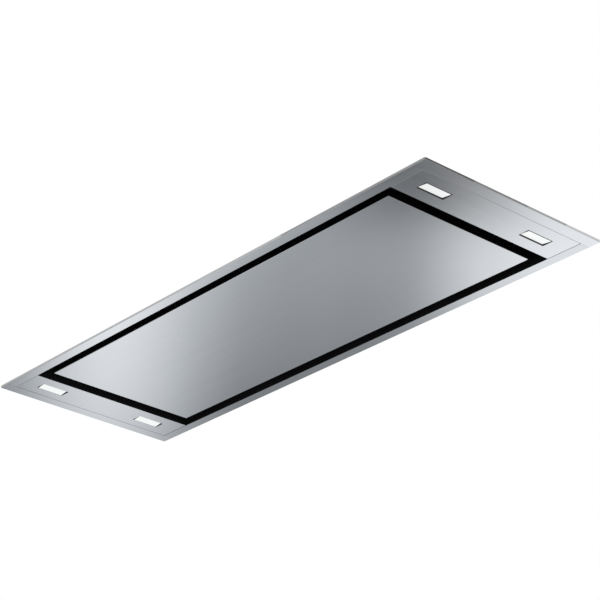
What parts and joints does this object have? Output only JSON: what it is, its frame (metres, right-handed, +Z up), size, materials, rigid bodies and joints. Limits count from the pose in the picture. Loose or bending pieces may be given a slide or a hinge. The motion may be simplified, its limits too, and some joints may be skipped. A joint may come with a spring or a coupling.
{
  "type": "ceiling range hood",
  "caption": "Flush ceiling range hood: steel face frame, suction panel hinged over a black slot, lamps, filters, blower in a sheet housing with round duct collar.",
  "frame": {"origin": "middle of the ceiling's underside inside the hood's outline; z = 0 is the plane the mounting flange lies against", "axes": "+X along the hood's length, +Z up into the ceiling void, +Y towards the side with the panel's hinge"},
  "size_m": [1.2, 0.4, 0.3776],
  "materials": {
    "brushed_face": "fine brushed stainless steel",
    "lamp_glass": "clear lens, frosted inside, lit",
    "black_plastic": "fine textured black",
    "led_board_white": "white solder mask",
    "black_liner": "matt black powder coat",
    "zinc_steel": "hot-dip galvanised sheet",
    "bright_pins": "bright zinc plated",
    "magnet_block": "ceramic magnet",
    "filter_aluminium": "folded sheet, satin",
    "mesh_aluminium": "pleated expanded mesh",
    "latch_plastic": "dark grey nylon",
    "motor_casting": "die cast",
    "stator_iron": "laminated electrical steel",
    "bush_rubber": "moulded",
    "capacitor_can": "white plastic can",
    "board_green": "circuit board with relays",
    "terminal_plastic": "nylon",
    "driver_white": "moulded case"
  },
  "bodies": {
    "hood": {"frame_end_left": "brushed_face", "frame_end_right": "brushed_face", "frame_side_front": "brushed_face", "frame_side_rear": "brushed_face", "lamp_plate_left": "brushed_face", "lamp_plate_right": "brushed_face", "lamp_lens_left_front": "lamp_glass", "lamp_lens_left_rear": "lamp_glass", "lamp_lens_right_front": "lamp_glass", "lamp_lens_right_rear": "lamp_glass", "lamp_holder_left_front": "black_plastic", "lamp_holder_left_rear": "black_plastic", "lamp_holder_right_front": "black_plastic", "lamp_holder_right_rear": "black_plastic", "led_boards": "led_board_white", "intake_liner": "black_liner", "hinge_pins": "black_liner", "catch_brackets": "black_liner", "catch_magnets": "magnet_block", "filter_deck": "black_liner", "filter_frame_left": "filter_aluminium", "filter_frame_middle": "filter_aluminium", "filter_frame_right": "filter_aluminium", "filter_mesh_left": "mesh_aluminium", "filter_mesh_middle": "mesh_aluminium", "filter_mesh_right": "mesh_aluminium", "housing_shell": "zinc_steel", "housing_top": "zinc_steel", "hanger_straps": "zinc_steel", "liner_screws": "bright_pins", "volute_left": "zinc_steel", "volute_right": "zinc_steel", "motor_stator": "stator_iron", "motor_cap_rear": "motor_casting", "motor_cap_front": "motor_casting", "motor_spider": "zinc_steel", "motor_bushes": "bush_rubber", "run_capacitor": "capacitor_can", "capacitor_clip": "black_plastic", "outlet_transition": "zinc_steel", "outlet_collar": "zinc_steel", "flap_pin": "bright_pins", "control_box": "black_plastic", "control_box_lid": "black_plastic", "control_board": "board_green", "terminal_block": "terminal_plastic", "cable_gland": "black_plastic", "led_driver": "driver_white"},
    "panel": {"panel_skin": "brushed_face", "panel_backing": "zinc_steel", "hinge_arms": "black_liner", "catch_keepers": "black_liner"},
    "latch_left": {"filter_latch_left": "latch_plastic"},
    "latch_middle": {"filter_latch_middle": "latch_plastic"},
    "latch_right": {"filter_latch_right": "latch_plastic"},
    "fan_wheel": {"impeller": "zinc_steel", "impeller_blades": "zinc_steel", "rotor": "bright_pins"},
    "flap_front": {"damper_flap_front": "zinc_steel"},
    "flap_rear": {"damper_flap_rear": "zinc_steel"}
  },
  "joints": [
    {"name": "panel_hinge", "type": "hinge", "parent": "hood", "child": "panel", "pos_m": [0, 0.14, 0.026], "axis": [1, 0, 0], "range_deg": [0, 90]},
    {"name": "latch_left_slide", "type": "slide", "parent": "hood", "child": "latch_left", "axis": [0, 1, 0], "range_m": [0, 0.006], "stiffness_N_per_m": 400, "springref_m": -0.004},
    {"name": "latch_middle_slide", "type": "slide", "parent": "hood", "child": "latch_middle", "axis": [0, 1, 0], "range_m": [0, 0.006], "stiffness_N_per_m": 400, "springref_m": -0.004},
    {"name": "latch_right_slide", "type": "slide", "parent": "hood", "child": "latch_right", "axis": [0, 1, 0], "range_m": [0, 0.006], "stiffness_N_per_m": 400, "springref_m": -0.004},
    {"name": "fan_spin", "type": "hinge", "parent": "hood", "child": "fan_wheel", "pos_m": [0, -0.047, 0.1845], "axis": [1, 0, 0], "continuous": true},
    {"name": "flap_front_hinge", "type": "hinge", "parent": "hood", "child": "flap_front", "pos_m": [0, 0.03522, 0.3012], "axis": [-1, 0, 0], "range_deg": [0, 75]},
    {"name": "flap_rear_hinge", "type": "hinge", "parent": "hood", "child": "flap_rear", "pos_m": [0, 0.03522, 0.3012], "axis": [1, 0, 0], "range_deg": [0, 75]}
  ]
}
